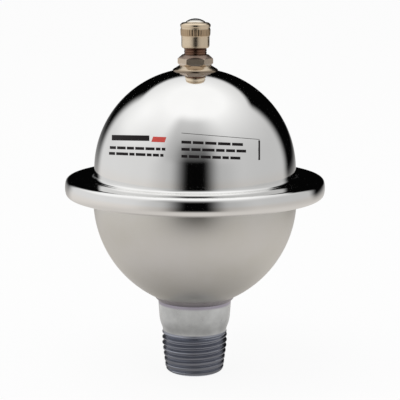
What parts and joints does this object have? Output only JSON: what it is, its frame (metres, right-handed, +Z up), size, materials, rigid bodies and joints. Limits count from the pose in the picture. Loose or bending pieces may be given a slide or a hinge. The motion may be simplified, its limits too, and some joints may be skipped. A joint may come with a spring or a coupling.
{
  "type": "water hammer arrestor",
  "caption": "Spherical diaphragm water hammer arrestor with a rolled rim, a threaded nipple below and a gas charging valve with a screw cap on top.",
  "frame": {"origin": "centre of the nipple's end face, on the vertical axis of the vessel", "axes": "+Z up along the vessel's axis, from the nipple's end to the valve cap; -Y is the side with the print"},
  "size_m": [0.0828, 0.0828, 0.1139],
  "materials": {
    "polished_steel": "mirror polished pressed steel",
    "zinc_steel": "satin zinc plate",
    "nipple_steel": "turned steel, zinc plated",
    "diaphragm_rubber": "matte moulded rubber",
    "seal_rubber": "matte rubber",
    "valve_brass": "turned brass",
    "cap_brass": "turned and knurled brass",
    "core_steel": "drawn wire"
  },
  "bodies": {
    "vessel": {"upper_shell": "polished_steel", "lower_shell": "zinc_steel", "diaphragm": "diaphragm_rubber", "threaded_nipple": "nipple_steel", "neck_weld": "nipple_steel", "valve_gasket": "seal_rubber", "valve_stem": "valve_brass", "valve_washer": "valve_brass", "valve_nut": "valve_brass", "core_plug": "valve_brass", "core_barrel": "valve_brass", "core_seal": "seal_rubber", "core_spring": "core_steel"},
    "valve_pin": {"core_pin": "core_steel", "core_plunger": "valve_brass", "plunger_seal": "seal_rubber"},
    "cap_rider": {"cap_seal": "seal_rubber"},
    "cap": {"valve_cap": "cap_brass"}
  },
  "joints": [
    {"name": "pin_press", "type": "slide", "parent": "vessel", "child": "valve_pin", "axis": [0, 0, -1], "range_m": [0, 0.0012], "stiffness_N_per_m": 900, "springref_m": -0.001, "deforming": ["core_spring"]},
    {"name": "cap_rise", "type": "slide", "parent": "vessel", "child": "cap_rider", "axis": [0, 0, 1], "range_m": [0, 0.01032]},
    {"name": "cap_turn", "type": "hinge", "parent": "cap_rider", "child": "cap", "pos_m": [0, 0, 0.108], "axis": [0, 0, 1], "range_deg": [0, 4680]}
  ],
  "couplings": [
    {"joint": "cap_turn", "follows": "cap_rise", "rad_per_m": 7915.8}
  ]
}
